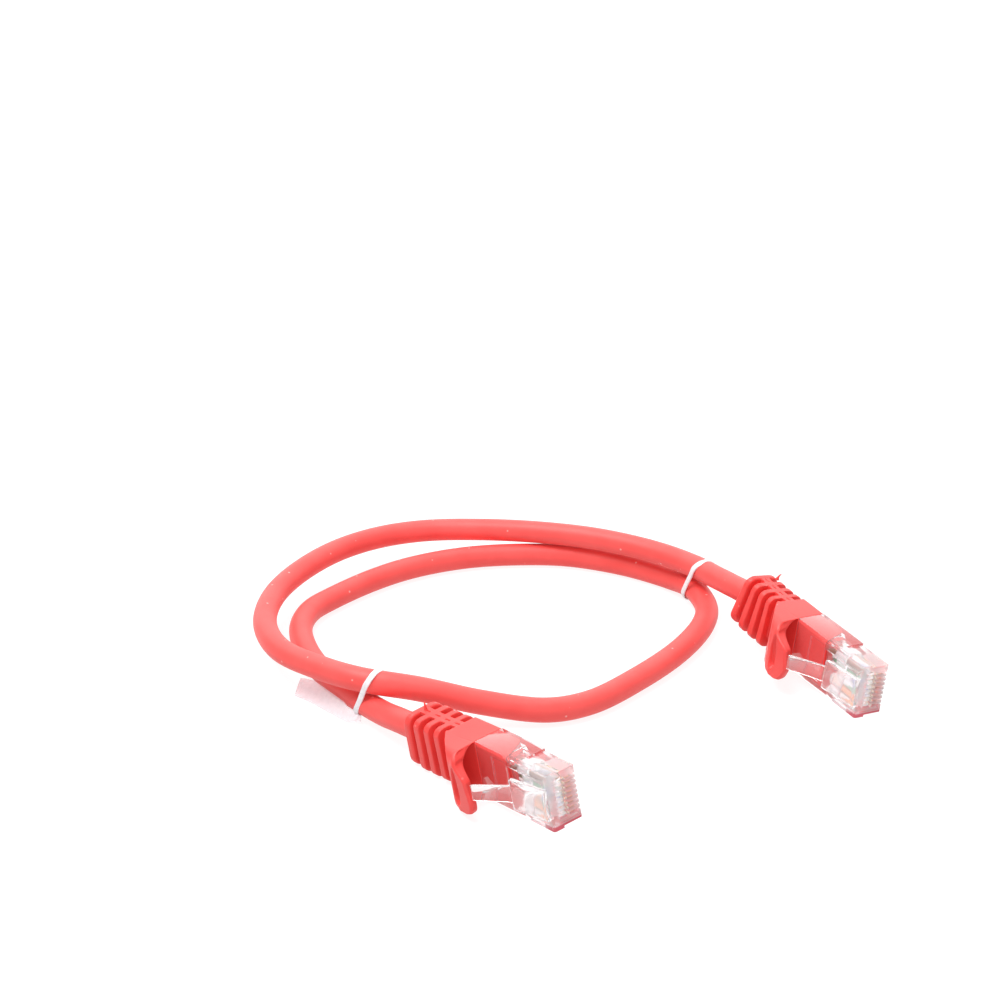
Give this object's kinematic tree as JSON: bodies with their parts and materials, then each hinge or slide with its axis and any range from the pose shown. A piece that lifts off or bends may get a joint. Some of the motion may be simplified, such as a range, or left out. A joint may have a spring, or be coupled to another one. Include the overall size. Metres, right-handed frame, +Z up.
{
  "type": "ethernet patch cable",
  "caption": "Coiled red round network patch lead held by two ties, with a clear modular plug, ribbed boot, latch and snag guard at each end.",
  "frame": {"origin": "bottom centre of the whole coiled lead's bounding box", "axes": "+Z up from the table; -Y towards the viewer, +X to the viewer's right; the coil lies flat"},
  "size_m": [0.1312, 0.1288, 0.0168],
  "materials": {
    "red_pvc": "soft semi-matt PVC",
    "clear_polycarbonate": "clear, polished",
    "gold_contact": "gold-plated, polished",
    "white_tie": "satin white",
    "tie_film": "thin translucent film",
    "wire_white_orange": "satin insulation",
    "wire_orange": "satin insulation",
    "wire_white_green": "satin insulation",
    "wire_blue": "satin insulation",
    "wire_white_blue": "satin insulation",
    "wire_green": "satin insulation",
    "wire_white_brown": "satin insulation",
    "wire_brown": "satin insulation"
  },
  "bodies": {
    "coil": {"coil_jacket": "red_pvc", "pair_orange": "wire_orange", "pair_green": "wire_green", "pair_blue": "wire_blue", "pair_brown": "wire_brown", "tie_1": "white_tie", "tie_2": "white_tie"},
    "film_end": {"tie_1_film_end": "tie_film"},
    "plug_a": {"tail_jacket_a": "red_pvc", "wire_a_white_orange": "wire_white_orange", "wire_a_orange": "wire_orange", "wire_a_white_green": "wire_white_green", "wire_a_blue": "wire_blue", "wire_a_white_blue": "wire_white_blue", "wire_a_green": "wire_green", "wire_a_white_brown": "wire_white_brown", "wire_a_brown": "wire_brown", "contact_a1": "gold_contact", "contact_a2": "gold_contact", "contact_a3": "gold_contact", "contact_a4": "gold_contact", "contact_a5": "gold_contact", "contact_a6": "gold_contact", "contact_a7": "gold_contact", "contact_a8": "gold_contact", "boot_a": "red_pvc", "plug_housing_a": "clear_polycarbonate", "load_bar_a": "clear_polycarbonate"},
    "latch_a": {"latch_a": "clear_polycarbonate"},
    "guard_a": {"snag_guard_a": "red_pvc"},
    "plug_b": {"tail_jacket_b": "red_pvc", "wire_b_white_orange": "wire_white_orange", "wire_b_orange": "wire_orange", "wire_b_white_green": "wire_white_green", "wire_b_blue": "wire_blue", "wire_b_white_blue": "wire_white_blue", "wire_b_green": "wire_green", "wire_b_white_brown": "wire_white_brown", "wire_b_brown": "wire_brown", "contact_b1": "gold_contact", "contact_b2": "gold_contact", "contact_b3": "gold_contact", "contact_b4": "gold_contact", "contact_b5": "gold_contact", "contact_b6": "gold_contact", "contact_b7": "gold_contact", "contact_b8": "gold_contact", "boot_b": "red_pvc", "plug_housing_b": "clear_polycarbonate", "load_bar_b": "clear_polycarbonate"},
    "latch_b": {"latch_b": "clear_polycarbonate"},
    "guard_b": {"snag_guard_b": "red_pvc"}
  },
  "joints": [
    {"name": "swing_a", "type": "hinge", "parent": "coil", "child": "plug_a", "pos_m": [-0.03253, -0.02387, 0.00522], "axis": [0, 0, 1], "range_deg": [-20, 20]},
    {"name": "guard_flex_a", "type": "hinge", "parent": "plug_a", "child": "guard_a", "pos_m": [-0.02117, -0.04188, 0.0065], "axis": [-0.166, 0.0574, 0.9845], "range_deg": [0, 12]},
    {"name": "latch_flex_a", "type": "hinge", "parent": "plug_a", "child": "latch_a", "pos_m": [-0.0048, -0.06329, 0.01024], "axis": [0.166, -0.0574, -0.9845], "range_deg": [0, 8.5]},
    {"name": "swing_b", "type": "hinge", "parent": "coil", "child": "plug_b", "pos_m": [0.03507, 0.03163, 0.00962], "axis": [0, 0, 1], "range_deg": [-15, 20]},
    {"name": "guard_flex_b", "type": "hinge", "parent": "plug_b", "child": "guard_b", "pos_m": [0.04514, 0.00691, 0.00936], "axis": [0.1061, -0.0012, 0.9944], "range_deg": [0, 12]},
    {"name": "latch_flex_b", "type": "hinge", "parent": "plug_b", "child": "latch_b", "pos_m": [0.05824, -0.01688, 0.00779], "axis": [-0.1061, 0.0012, -0.9944], "range_deg": [0, 8.5]},
    {"name": "film_swing", "type": "hinge", "parent": "coil", "child": "film_end", "pos_m": [-0.04323, -0.01557, 0.00162], "axis": [0, 0, 1], "range_deg": [0, 20]}
  ],
  "couplings": [
    {"joint": "latch_flex_a", "follows": "guard_flex_a", "ratio": 0.7},
    {"joint": "latch_flex_b", "follows": "guard_flex_b", "ratio": 0.7}
  ]
}
